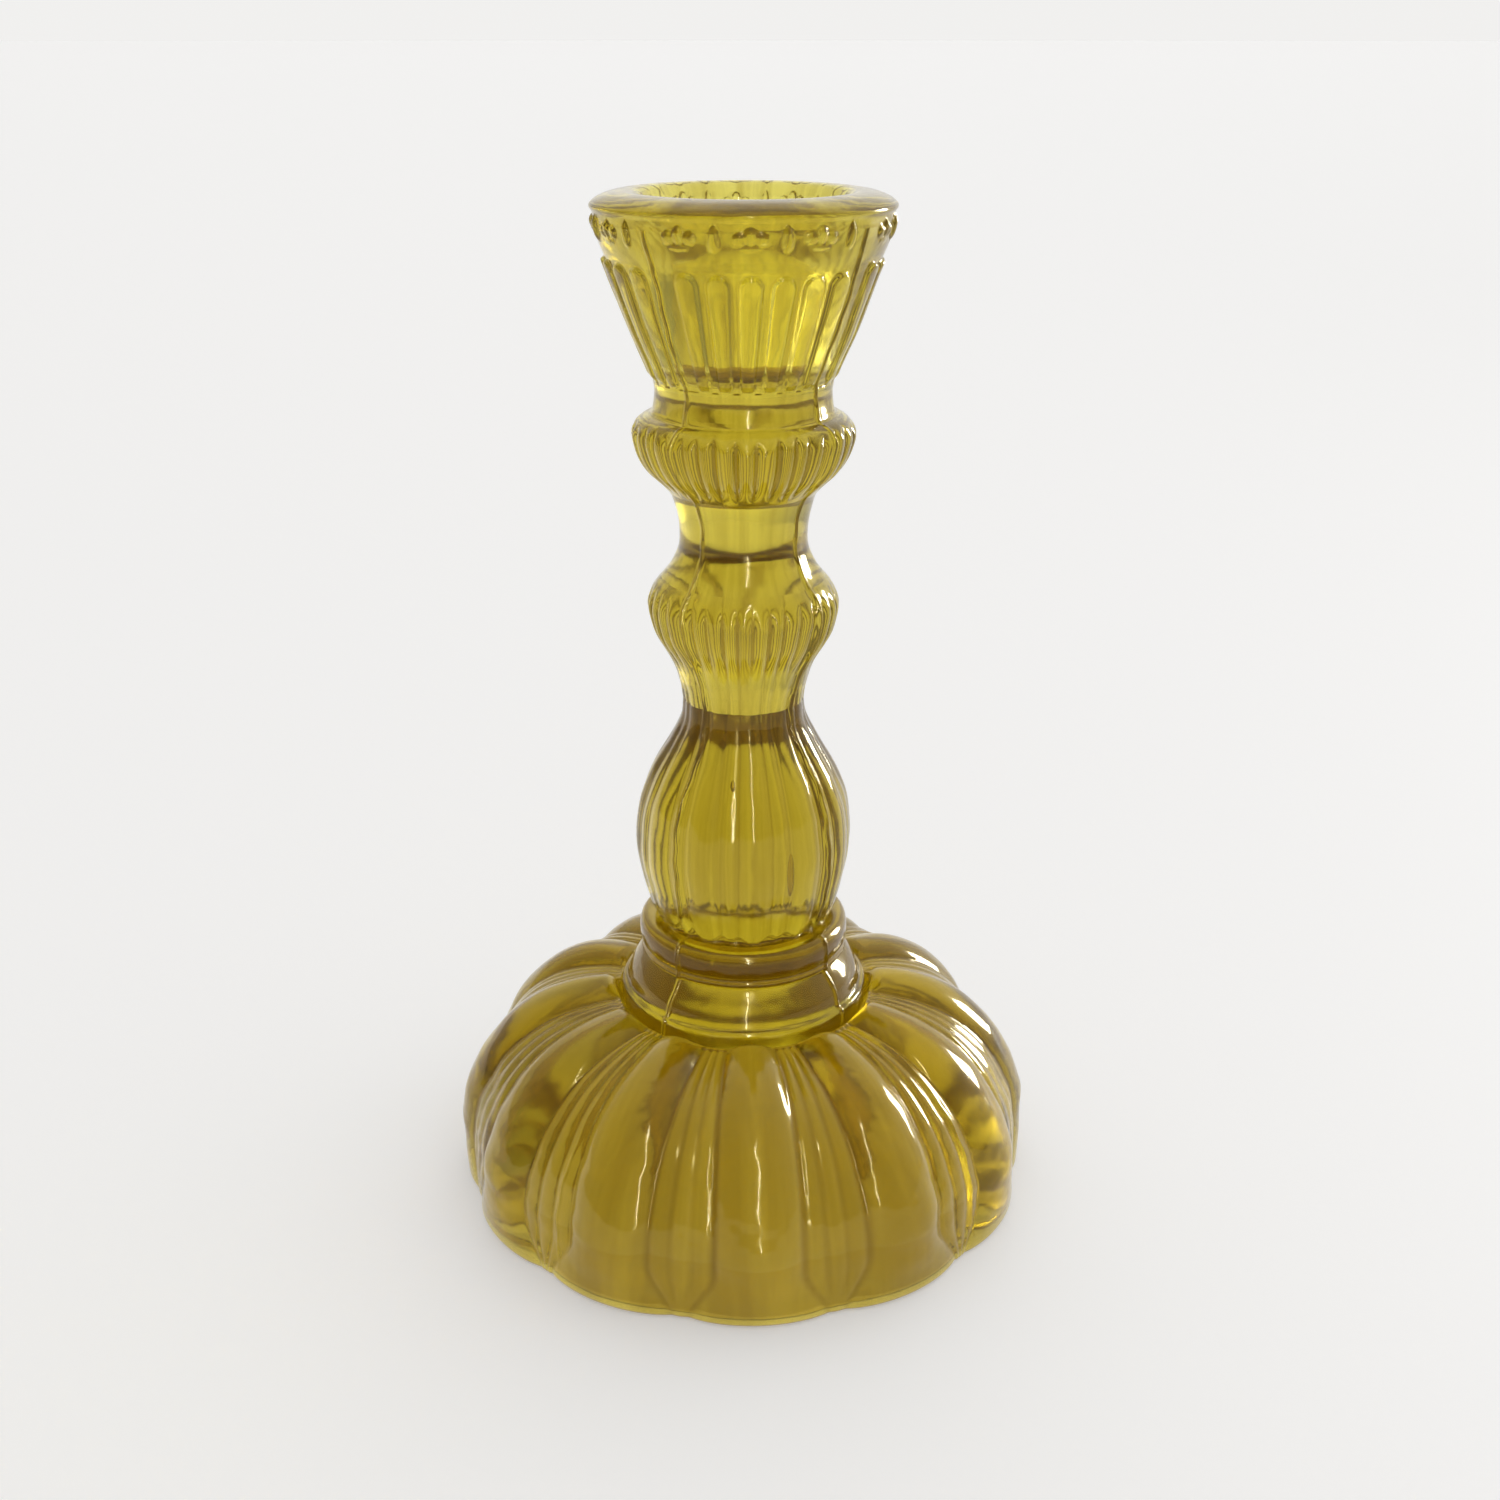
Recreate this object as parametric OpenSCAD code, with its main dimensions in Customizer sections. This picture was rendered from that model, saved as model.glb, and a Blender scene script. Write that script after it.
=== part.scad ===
// Pressed glass candlestick: a stack of ten glass sections on one axis.
// The origin is the centre of the ring the foot stands on, and +Z is up.

/* [Foot] */
// Height of the domed foot up to the collar
foot_h = 34.5; // [33:0.5:36]
// Radius at the widest part of the lobes
foot_r = 54; // [50:0.5:58]
// Number of lobes round the foot
lobe_count = 12; // [8:1:16]
// Depth of the valley between two lobes
lobe_depth = 3.9; // [1:0.1:4.5]
// Thickness of the glass over the hollow underside
foot_wall = 6.5; // [5:0.5:8]

/* [Collars] */
// Height of the conical collar above the foot
foot_collar_h = 11; // [9:0.5:13]
// Radius of the ring at the bottom of the foot collar
foot_collar_r = 22.6; // [21:0.1:24]
// Height of the disc under the baluster
merese_h = 7; // [5:0.5:9]
// Radius of the disc under the baluster
merese_r = 19.1; // [18:0.1:21]
// Height of the plain ring under the candle cup
cup_collar_h = 4; // [3:0.5:6]
// Radius of the plain ring under the candle cup
cup_collar_r = 14.8; // [14:0.1:16]

/* [Stem] */
// Height of the fluted bulb
baluster_h = 42; // [38:1:48]
// Largest radius of the fluted bulb
baluster_r = 19.4; // [17:0.1:21]
// Height of the lower knop, from the waist to the neck
lower_knop_h = 22; // [20:1:25]
// Largest radius of the lower knop
lower_knop_r = 16.3; // [15:0.1:18]
// Height of the plain neck
neck_h = 15; // [12:1:20]
// Smallest radius of the neck
neck_r = 10.9; // [9:0.1:12]
// Height of the upper knop
upper_knop_h = 14; // [12:0.5:17]
// Largest radius of the upper knop
upper_knop_r = 18.4; // [17:0.1:20]
// Radius of the waist between the bulb and the lower knop
waist_r = 10.6; // [9:0.1:12]

/* [Candle cup] */
// Height of the cup, from its collar to the rim
cup_h = 26; // [25.5:0.5:30]
// Radius of the cup just under the rim
cup_top_r = 23.9; // [23:0.1:25]
// Number of arched panels round the cup
panel_count = 24; // [16:2:32]
// Height of the rolled rim
rim_h = 4.5; // [4:0.25:6]
// Outer radius of the rolled rim
rim_r = 24.4; // [24.1:0.1:26]
// Radius of the mouth at the top of the rim
mouth_r = 17; // [16:0.1:18]

/* [Candle socket] */
// Radius of the straight socket that holds the candle
socket_r = 11.5; // [11:0.1:12]
// Depth of the straight part of the socket
socket_depth = 18; // [16:0.5:20]

/* [Hidden] */
$fn = 96;

glass = [0.66, 0.56, 0.15, 0.8];

// Heights at which one section meets the next.
foot_collar_z = foot_h;
merese_z = foot_collar_z + foot_collar_h;
baluster_z = merese_z + merese_h;
lower_knop_z = baluster_z + baluster_h;
neck_z = lower_knop_z + lower_knop_h;
upper_knop_z = neck_z + neck_h;
cup_collar_z = upper_knop_z + upper_knop_h;
cup_z = cup_collar_z + cup_collar_h;
rim_z = cup_z + cup_h;

// Radii shared by two sections where they meet.
knop_joint_r = 13.9;
neck_top_r = 12.6;
collar_joint_r = cup_collar_r + 0.3;
baluster_foot_r = 16;

// Candle cup: height of the flare over the socket, and the radius where it meets the rim.
flare_h = 5.5;
roll = 2;
flare_r = mouth_r - roll;

// Arched panels: their top, their radius there, and how far they stand out of the band above.
panel_top = cup_h - 7;
panel_r = cup_top_r - 1.6;
panel_step = 0.4;

// Relief drops round the band.
drop_z = cup_h - 2.6;
drop_size = 1.5;
drop_relief = 0.6;

// The whole pattern is turned so that the mould seams fall beside the front.
pattern_turn = 6.5;

// Foot outline: how full the dome is, and how far the standing ring tucks in.
dome_fullness = 2.3;
dome_roundness = 0.65;
dome_peak = 4;
skirt_h = 12;
tuck_in = 0.6;
base_lobe_depth = 1;
standing_ring = 5;

// Depth of the valleys between the ribs of the stem.
rib_depth = 0.7;

// Rows of points up the dome of the foot, and up the skirt below it.
rows_dome = 14;
rows_skirt = 3;
points_per_lobe = 8;

// Catmull-Rom curve through points [height, radius], steps points to a span.
function span_point(a, b, c, d, t) = 0.5 * (2 * b + (c - a) * t + (2 * a - 5 * b + 4 * c - d) * t * t
    + (3 * b - a - 3 * c + d) * t * t * t);
function smooth(p, steps) = [
    for (i = [0 : len(p) - 2]) for (s = [0 : steps - 1])
        span_point(p[max(i - 1, 0)], p[i], p[i + 1], p[min(i + 2, len(p) - 1)], s / steps),
    p[len(p) - 1]
];

// How far an angle lies from the crest of its rib: 0 on the crest, 1 in the valley beside it.
// Wide ribs alternate with narrow ones, and wide_share is a wide rib's share of the pair.
function valley(angle, pairs, wide_share) =
    let (pitch = 360 / pairs, off = (angle % pitch + pitch) % pitch, half = pitch * wide_share / 2,
         from_wide = min(off, pitch - off))
    pow(from_wide < half ? from_wide / half : (pitch / 2 - from_wide) / (pitch / 2 - half), 2);

// Closed solid from stacked rings of points, each ring the same number of points.
module stacked_rings(rings) {
    n = len(rings[0]);
    last = len(rings) - 1;
    polyhedron(
        points = [for (ring = rings) each ring],
        faces = [
            [for (i = [0 : n - 1]) i],
            for (k = [0 : last - 1]) for (i = [0 : n - 1])
                let (a = k * n + i, b = k * n + (i + 1) % n)
                each [[a, a + n, b], [b, a + n, b + n]],
            [for (i = [n - 1 : -1 : 0]) last * n + i]
        ],
        convexity = 6
    );
}

// Copies of a child that points along +X, set round the axis and turned with the pattern.
module round_the_axis(count, offset) {
    for (i = [0 : count - 1])
        rotate(360 * (i + offset) / count + pattern_turn - 90)
            children();
}

// Section of the stem with ribs on a round outline of points [height, radius], smooth at both ends.
module ribbed_section(outline, pairs, wide_share, points_per_pair) {
    n = pairs * points_per_pair;
    last = len(outline) - 1;
    stacked_rings([
        for (k = [0 : last])
            let (depth = rib_depth * sqrt(sin(180 * k / last)))
            [for (i = [0 : n - 1])
                let (angle = 360 * i / n, r = outline[k][1] - depth * valley(angle, pairs, wide_share),
                     turned = angle + pattern_turn - 90)
                [r * cos(turned), r * sin(turned), outline[k][0]]]
    ]);
}

// Smooth round section from an outline of points [height, radius].
module round_section(outline) {
    rotate_extrude()
        polygon([[0, outline[0][0]], for (p = outline) [p[1], p[0]], [0, outline[len(outline) - 1][0]]]);
}

// Cone with raised arched panels below, then a plain band with a row of relief drops.
module candle_cup() {
    color(glass)
        translate([0, 0, cup_z])
            difference() {
                union() {
                    round_section([
                        [0, cup_collar_r],
                        [panel_top - 3, panel_r - 0.7],
                        [panel_top, panel_r],
                        [panel_top + 0.4, panel_r - panel_step],
                        [drop_z - 0.4, cup_top_r - 0.3],
                        [cup_h - 0.5, cup_top_r],
                        [cup_h, cup_top_r]
                    ]);
                    round_the_axis(panel_count, 0)
                        translate([cup_top_r + drop_relief - drop_size, 0, drop_z])
                            rotate(180)
                                sphere(r = drop_size, $fn = 24);
                }
                round_the_axis(panel_count, 0.5)
                    panel_groove();
                candle_socket();
            }
}

// Round-bottomed groove between two panels, lying along the cone.
module panel_groove() {
    lean = atan((panel_r - panel_step - cup_collar_r) / panel_top);
    groove_r = 1.3;
    clear_ends = 4;
    translate([cup_collar_r + groove_r / 2, 0, 1.5])
        rotate([0, lean, 0])
            cylinder(r = groove_r, h = (panel_top - clear_ends) / cos(lean), $fn = 24);
}

// Straight bore for the candle, and the flare above it.
module candle_socket() {
    translate([0, 0, cup_h - flare_h - socket_depth])
        cylinder(r = socket_r, h = socket_depth + 1);
    translate([0, 0, cup_h - flare_h])
        cylinder(r1 = socket_r, r2 = flare_r, h = flare_h);
}

// Rolled lip: a thin ridge at the bottom, a round shoulder outside and a round edge at the mouth.
module rim() {
    ridge = 0.3;
    crown_r = mouth_r + roll;
    shoulder = rim_r - crown_r;
    shoulder_h = rim_h - 1.6;
    color(glass)
        translate([0, 0, rim_z])
            rotate_extrude()
                polygon([
                    [flare_r, 0],
                    [cup_top_r, 0],
                    [rim_r + ridge, 0.5],
                    [rim_r, 1.2],
                    for (a = [0 : 10 : 90])
                        [crown_r + shoulder * cos(a), rim_h - shoulder_h + shoulder_h * sin(a)],
                    for (a = [15 : 15 : 90])
                        [crown_r - roll * sin(a), rim_h - roll + roll * cos(a)]
                ]);
}

// Plain ring with a slightly hollow side.
module cup_collar() {
    color(glass)
        translate([0, 0, cup_collar_z])
            round_section([
                [0, collar_joint_r],
                [cup_collar_h * 0.3, cup_collar_r],
                [cup_collar_h * 0.7, cup_collar_r - 0.1],
                [cup_collar_h, cup_collar_r]
            ]);
}

// Ring knop with fine ribs.
module upper_knop() {
    outline = smooth([[0, neck_top_r], [0.25, 0.84 * upper_knop_r], [0.55, 0.97 * upper_knop_r],
                      [0.72, upper_knop_r], [0.9, 0.95 * upper_knop_r], [1, collar_joint_r]], 3);
    color(glass)
        translate([0, 0, upper_knop_z])
            ribbed_section([for (p = outline) [p[0] * upper_knop_h, p[1]]], 16, 0.5, 6);
}

// Plain concave stem.
module neck() {
    outline = smooth([[0, knop_joint_r], [0.2, 1.06 * neck_r], [0.5, neck_r], [0.8, 1.04 * neck_r],
                      [1, neck_top_r]], 4);
    color(glass)
        translate([0, 0, neck_z])
            round_section([for (p = outline) [p[0] * neck_h, p[1]]]);
}

// Ribbed shoulder that tapers down to the waist.
module lower_knop() {
    outline = smooth([[0, waist_r], [0.2, 1.09 * waist_r], [0.45, 0.85 * lower_knop_r],
                      [0.67, 0.97 * lower_knop_r], [0.82, lower_knop_r], [0.93, 0.96 * lower_knop_r],
                      [1, knop_joint_r]], 3);
    color(glass)
        translate([0, 0, lower_knop_z])
            ribbed_section([for (p = outline) [p[0] * lower_knop_h, p[1]]], 12, 0.5, 8);
}

// Bulb with wide flutes and narrow ones by turns.
module baluster() {
    outline = smooth([[0, baluster_foot_r], [0.18, 0.94 * baluster_r], [0.38, baluster_r],
                      [0.54, 0.96 * baluster_r], [0.71, 0.81 * baluster_r], [0.86, 0.63 * baluster_r],
                      [1, waist_r]], 3);
    color(glass)
        translate([0, 0, baluster_z])
            ribbed_section([for (p = outline) [p[0] * baluster_h, p[1]]], 12, 2 / 3, 6);
}

// Disc with a round edge.
module merese() {
    half = merese_h / 2;
    sweep = 60;
    color(glass)
        translate([0, 0, merese_z])
            round_section([
                for (a = [-sweep : sweep / 4 : sweep])
                    [half + half * sin(a) / sin(sweep), merese_r - 0.8 * half * (1 - cos(a))]
            ]);
}

// Plain ring below, then a convex cone up to the disc.
module foot_collar() {
    ring_h = 4.7;
    top_r = merese_r - 0.8;
    cone = smooth([[ring_h, foot_collar_r - 0.1], [ring_h + 2.6, foot_collar_r - 1.2],
                   [foot_collar_h - 1, top_r + 0.7], [foot_collar_h, top_r]], 4);
    color(glass)
        translate([0, 0, foot_collar_z])
            round_section(concat([[0, foot_collar_r], [ring_h - 0.8, foot_collar_r + 0.2]], cone));
}

// How far an angle lies from the crest of its lobe: 0 on the crest, 1 in the valley.
function lobe_valley(angle) =
    let (pitch = 360 / lobe_count, off = (angle % pitch + pitch) % pitch)
    pow(min(off, pitch - off) * 2 / pitch, 2);

// Height of a lobe's crest at a share s of the way from the collar to the widest part.
function dome_z(s) =
    skirt_h + (foot_h + dome_peak - skirt_h) * pow(1 - pow(min(s, 1), dome_fullness), dome_roundness);

// Rings of the foot from the floor up: each is [crest radius, crest height, valley depth, share of the
// depth that is cut inwards and not downwards].
function foot_rings() =
    let (reach = foot_r - foot_collar_r, skirt_depth = 0.8 * lobe_depth)
    [
        for (k = [rows_skirt : -1 : 1])
            let (t = k / rows_skirt)
            [foot_r - tuck_in * t * t, skirt_h * (1 - t), skirt_depth * (1 - t) + base_lobe_depth * t, 1],
        for (k = [rows_dome : -1 : 1])
            let (s = sin(90 * k / rows_dome))
            [foot_collar_r + reach * s, dome_z(s), lobe_depth * sin(35 + 92 * s), sin(90 * k / rows_dome)],
        [foot_collar_r, foot_h, 0, 0]
    ];

// Domed foot of convex lobes, hollow underneath, standing on a flat ring.
module foot() {
    n = lobe_count * points_per_lobe;
    color(glass)
        difference() {
            stacked_rings([
                for (ring = foot_rings())
                    [for (i = [0 : n - 1])
                        let (angle = 360 * i / n, turned = angle + pattern_turn - 90,
                             cut = ring[2] * lobe_valley(angle), r = ring[0] - cut * ring[3])
                        [r * cos(turned), r * sin(turned), ring[1] - cut * (1 - ring[3])]]
            ]);
            foot_hollow();
        }
}

// Smooth dome under the foot, open at the bottom.
module foot_hollow() {
    hollow_r = foot_r - tuck_in - base_lobe_depth - standing_ring;
    hollow_h = foot_h - foot_wall;
    rotate_extrude()
        polygon([
            [0, -1],
            [hollow_r, -1],
            for (a = [0 : 6 : 84]) [hollow_r * pow(cos(a), 0.8), hollow_h * pow(sin(a), 0.9)],
            [0, hollow_h]
        ]);
}

foot();
foot_collar();
merese();
baluster();
lower_knop();
neck();
upper_knop();
cup_collar();
candle_cup();
rim();
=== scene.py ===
"""Pressed glass candlestick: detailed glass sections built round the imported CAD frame."""

import math

import bpy
import numpy as np
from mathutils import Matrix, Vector


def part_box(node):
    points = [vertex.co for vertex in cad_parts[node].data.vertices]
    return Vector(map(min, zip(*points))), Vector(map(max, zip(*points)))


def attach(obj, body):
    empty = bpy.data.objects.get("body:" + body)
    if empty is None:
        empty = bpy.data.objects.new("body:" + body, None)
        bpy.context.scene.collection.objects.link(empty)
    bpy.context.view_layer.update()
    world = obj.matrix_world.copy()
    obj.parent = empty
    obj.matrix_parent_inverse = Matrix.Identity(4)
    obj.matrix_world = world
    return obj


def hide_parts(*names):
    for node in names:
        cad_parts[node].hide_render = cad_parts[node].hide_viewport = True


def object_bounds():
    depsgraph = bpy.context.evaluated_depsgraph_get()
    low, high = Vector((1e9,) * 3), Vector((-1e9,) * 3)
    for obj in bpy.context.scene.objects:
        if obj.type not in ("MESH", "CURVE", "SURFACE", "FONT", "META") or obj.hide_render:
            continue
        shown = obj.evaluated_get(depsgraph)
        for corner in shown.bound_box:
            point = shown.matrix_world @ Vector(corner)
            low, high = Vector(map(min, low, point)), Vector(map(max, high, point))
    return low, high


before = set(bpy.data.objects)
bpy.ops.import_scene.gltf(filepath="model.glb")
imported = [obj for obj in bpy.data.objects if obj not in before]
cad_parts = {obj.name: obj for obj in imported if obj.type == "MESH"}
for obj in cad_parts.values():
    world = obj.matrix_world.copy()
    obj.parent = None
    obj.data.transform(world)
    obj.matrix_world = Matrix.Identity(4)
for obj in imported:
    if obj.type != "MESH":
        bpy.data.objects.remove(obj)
CAD_BOUNDS = [list(corner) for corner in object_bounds()]

# ---------------------------------------------------------------- driving values, in metres and radians

MM = 0.001
DEG = math.radians(1)

STEM_STEPS = 720  # points round a ring of the stem
FOOT_STEPS = 1200  # points round a ring of the foot
CREASE_REACH = 3  # points each way over which a crease is measured
SEAM_GATHER = 0.13  # how far ring points gather at the mould seams
ROW_STEP = 0.4 * MM  # height between two rings of the stem
JOINT_GAP = 0.005 * MM  # hair gap where two sections meet

PATTERN_TURN = 6.5 * DEG  # how far the moulded pattern is turned to the right of the front
PAIR_PITCH = 30 * DEG  # one wide rib and one narrow rib
WIDE_RIB = 10 * DEG  # half the width of a wide rib or lobe
KNOP_RIBS = 36  # fine ribs round each knop

SEAM_TURNS = [PATTERN_TURN + (45 + 90 * k) * DEG for k in range(4)]
SEAM_HEIGHT = 0.42 * MM
SEAM_WIDTH = 0.34 * MM
UNSEAMED = ("rim",)  # sections whose seams the fire polish has taken away
SEAM_STEPS = (0.05 * MM, -0.04 * MM, 0.06 * MM, -0.05 * MM)  # mismatch of the four mould quarters

BORE_R = 11.5 * MM
BORE_FLOOR = 18 * MM  # depth of the straight bore
FLARE_H = 5.5 * MM
FLARE_R = 15 * MM
FLOOR_DIP = 0.9 * MM
FLOOR_PAINTED_SHADE = 1.0  # how dark the painted shade on the bore's floor is

# Outlines of the sections: (height above the section's foot, radius), in millimetres.
OUTLINES = {
    "foot_collar": [(0, 22.3), (0.5, 22.7), (1.3, 22.8), (3.6, 22.75), (4.4, 22.5), (4.7, 21.9),
                    (5.3, 21.5), (7.2, 20.9), (9.2, 19.8), (10.4, 18.9), (11, 18.3)],
    "merese": [(0, 18.3), (0.3, 18.7), (0.8, 18.95), (1.3, 18.85), (1.7, 18.6), (2.2, 18.9), (3.6, 19.1),
               (5.2, 19.05), (6.1, 18.7), (6.7, 18.1), (6.95, 17.3), (7, 15.7)],
    "baluster": [(0, 15.7), (3, 17.05), (7.5, 18.2), (15, 19.4), (22.5, 18.65), (28.5, 16.4),
                 (34.5, 12.95), (38.5, 11.05), (42, 10.6)],
    "lower_knop": [(0, 10.6), (3, 11.1), (7.5, 12.65), (12, 14.95), (15, 15.9), (17.3, 16.25),
                   (19.5, 15.85), (21, 15), (22, 14.1)],
    "neck": [(0, 14.1), (2, 12.55), (5, 11.2), (8, 10.9), (11, 11.25), (14, 12.1), (15, 12.6)],
    "upper_knop": [(0, 12.6), (2, 14.4), (3.5, 15.8), (5, 16.85), (6.5, 17.6), (8, 18.1), (9.5, 18.4),
                   (11, 18.2), (12.1, 17.5), (12.8, 16.4), (13.1, 15.5), (14, 15.1)],
    "cup_collar": [(0, 15.1), (1.5, 14.85), (3, 14.75), (4, 14.9)],
    "candle_cup": [(0, 14.9), (0.4, 15), (1.5, 15.05), (9, 18.2), (19, 22), (20.5, 22.5), (23, 23.5),
                   (26, 24.1)],
    "rim": [(0, 24.1), (0.8, 24.15), (1.5, 24.3), (2, 24.65), (2.45, 24.7), (2.9, 24.35), (3.5, 23.5),
            (4.1, 22), (4.4, 20.4), (4.5, 19), (4.35, 17.9), (3.9, 17.2), (3, 16.6), (1.5, 15.7),
            (0, 15)],
}

# Slow ripples of the pressed surface: (waves round the axis, waves per metre of height, start, height).
RIPPLES = ((3, 60, 0.3, 0.04 * MM), (5, -95, 1.7, 0.03 * MM), (8, 140, 4.1, 0.014 * MM),
           (13, -170, 2.6, 0.008 * MM))


# How deep the tint of the skin is, from 0 to 1. The glass is one colour all through: a deeper tint is
# painted shade where a section is to look darker.
STEM_SHADE = 0.4
FOOT_SHADE = 0.82
FLOOR_SHADE = 1.0
RIM_SIDE_SHADE = 0.35
SCALLOP_SHADE = 0.7  # how dark the painted shade in the groove at the bulb's foot is
RIM_SIDE_R = 23.9 * MM  # the rim's side lies outside this radius
SHADES = {"foot": 1.0, "candle_cup": 0.02, "rim": 0.02, "cup_collar": 0.25, "neck": 0.3, "merese": 0.0,
          "foot_collar": 0.16}
CREASE_SHARE = {"candle_cup": 0.4, "rim": 0.4}  # how strong the painted shade in the creases of a section is, if not full


# ---------------------------------------------------------------- outlines and relief


def foot_of(node):
    """Height of a CAD node's lowest point."""
    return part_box(node)[0].z


def outline_points(node):
    """Outline of a section as (height, radius) in metres, in the row frame."""
    base = foot_of(node)
    return np.array([(base + z * MM, r * MM) for z, r in OUTLINES[node]])


def smooth_line(points, step):
    """Points at about the given step along a Catmull-Rom curve through the given ones."""
    chord = np.sqrt(np.hypot(*np.diff(points, axis=0).T))
    knot = np.concatenate([[0], np.cumsum(chord)])
    slope = np.zeros_like(points)
    slope[1:-1] = (points[2:] - points[:-2]) / (knot[2:] - knot[:-2])[:, None]
    slope[0] = (points[1] - points[0]) / chord[0]
    slope[-1] = (points[-1] - points[-2]) / chord[-1]
    line = []
    for i, width in enumerate(chord):
        count = max(1, round(float(np.hypot(*(points[i + 1] - points[i]))) / step))
        for t in np.arange(count) / count:
            a = 2 * t**3 - 3 * t**2 + 1
            b = (t**3 - 2 * t**2 + t) * width
            c = 3 * t**2 - 2 * t**3
            d = (t**3 - t**2) * width
            line.append(a * points[i] + b * slope[i] + c * points[i + 1] + d * slope[i + 1])
    line.append(points[-1])
    return np.array(line)


def turns(steps):
    """Angles round the axis from the front, towards +X, closer together at the four mould seams."""
    even = SEAM_TURNS[0] + np.arange(steps) * 2 * math.pi / steps
    return even - SEAM_GATHER * np.sin(4 * (even - SEAM_TURNS[0]))


def ring(turn, r, z):
    """Points of one ring: r and z are numbers or arrays over the angles."""
    return np.stack([r * np.sin(turn), -r * np.cos(turn), np.broadcast_to(z, turn.shape)], axis=1)


def wrapped(angle):
    """Angle brought to between minus pi and pi."""
    return (angle + math.pi) % (2 * math.pi) - math.pi


def smoothstep(x):
    x = np.clip(x, 0, 1)
    return x * x * (3 - 2 * x)


def soften(values, half_width):
    """Values round a ring, blurred over a few points each way, as fire polish rounds an edge."""
    kernel = np.hanning(2 * half_width + 3)[1:-1]
    padded = np.concatenate([values[-half_width:], values, values[:half_width]])
    return np.convolve(padded, kernel / kernel.sum(), mode="valid")


def ripple(turn, z):
    """Slow unevenness of the pressed surface."""
    return sum(h * np.sin(n * turn + 2 * math.pi * k * z + start) for n, k, start, h in RIPPLES)


def across_seam(turn, r, z, seam):
    """Distances from a mould seam, which wanders a little on its way up."""
    wander = 0.18 * MM * math.sin(310 * z + 5 * seam) + 0.1 * MM * math.sin(1130 * z + seam)
    return wrapped(turn - seam) * r + wander


def seam_marks(turn, r, z):
    """Strength of the painted shade along the mould seams: 1 on a seam, falling to 0 beside it."""
    width = 0.7 * SEAM_WIDTH
    return sum(np.exp(-((across_seam(turn, r, z, seam) / width) ** 2)) for seam in SEAM_TURNS)


def creases(relief, r):
    """How sharply a ring's relief bends inwards at each point, from 0 to 1: the strength of the painted
    shade in its creases.
    """
    reach = CREASE_REACH
    bend = np.roll(relief, reach) + np.roll(relief, -reach) - 2 * relief
    return np.clip(bend / (reach * 2 * math.pi / len(relief) * r), 0, 1)


def seams(turn, r, z):
    """Raised mould seams, with a slight step where two mould quarters meet."""
    relief = np.zeros_like(turn)
    for seam, step in zip(SEAM_TURNS, SEAM_STEPS):
        across = across_seam(turn, r, z, seam)
        relief += SEAM_HEIGHT * np.exp(-((across / SEAM_WIDTH) ** 2))
        beside = smoothstep(across / SEAM_WIDTH + 0.5) * smoothstep(1.5 - np.abs(across) / (8 * MM))
        relief += step * beside
    return relief


def arch(d, fullness=0.92):
    """Round rib section: 1 at d = 0, 0 at d = 1, meeting its neighbour in a crease."""
    edge = math.sqrt(1 - fullness**2)
    return (np.sqrt(1 - (fullness * np.clip(np.abs(d), 0, 1)) ** 2) - edge) / (1 - edge)


def swayed(turn, seed, sway):
    """Angles shifted a little to and fro, so that hand-cut ribs differ in width."""
    waves = np.sin(5 * turn + seed) + 0.6 * np.sin(13 * turn + 2 * seed) + 0.5 * np.sin(29 * turn + seed)
    return turn + sway * waves


def worn(turn, seed, loss):
    """Uneven strength of a relief round the axis, from about 1 - 2 x loss up to 1."""
    return 1 - loss * (1 + 0.6 * np.sin(3 * turn + seed) + 0.4 * np.sin(11 * turn + 3 * seed))


def varied(index, seed):
    """Fixed number between -1 and 1 that differs from one repeat of a motif to the next."""
    return math.sin(12.9898 * index + 4.1 * seed)


def rib_pairs(turn, narrow_share=0.75):
    """Wide ribs alternating with narrow, lower ones, from 0 in the creases to 1 on a wide crest."""
    off = np.abs((turn - PATTERN_TURN + PAIR_PITCH / 2) % PAIR_PITCH - PAIR_PITCH / 2)
    narrow = (PAIR_PITCH / 2 - off) / (PAIR_PITCH / 2 - WIDE_RIB)
    return np.where(off < WIDE_RIB, arch(off / WIDE_RIB), narrow_share * arch(narrow))


def fine_ribs(turn, count):
    """Even fine ribs, from 0 in the creases to 1 on a crest."""
    pitch = 2 * math.pi / count
    off = (turn - PATTERN_TURN) % pitch - pitch / 2
    return arch(off / (pitch / 2))


# ---------------------------------------------------------------- relief added to each section's radius


BULB_RIB_DEPTH = 0.75 * MM
FOOT_CUT_DEPTH = 1.0 * MM
LOWER_KNOP_DEPTH = 1.0 * MM
UPPER_KNOP_DEPTH = 1.3 * MM


def no_relief(turn, r, z, low, high):
    return np.zeros_like(turn)


def foot_cut(turn, z, low):
    """How far the bulb is cut in below the scalloped line at its foot, from 0 to 1."""
    line = low + 0.9 * MM + 2.2 * MM * (1 - soften(rib_pairs(turn), 7))
    return smoothstep((line - z) / (0.7 * MM)) * smoothstep((z - low) / (0.3 * MM))


def baluster_relief(turn, r, z, low, high):
    depth = BULB_RIB_DEPTH * (0.45 + 0.55 * smoothstep((high - z) / (16 * MM)))
    ribs = soften(rib_pairs(turn), 7)
    return depth * (ribs - 0.8) - FOOT_CUT_DEPTH * foot_cut(turn, z, low)


def lower_knop_relief(turn, r, z, low, high):
    upper = smoothstep((z - low - 5 * MM) / (8 * MM)) * smoothstep((high - MM - z) / (4 * MM))
    lower = 1 - smoothstep((z - low) / (12 * MM))
    ribs = soften(fine_ribs(swayed(turn, 0.7, 0.9 * DEG), KNOP_RIBS), 1) - 0.6
    fine = LOWER_KNOP_DEPTH * upper * worn(turn, 2.2, 0.22) * ribs
    return fine + 0.4 * MM * (0.2 + 0.8 * lower) * (soften(rib_pairs(turn), 5) - 0.8)


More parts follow.
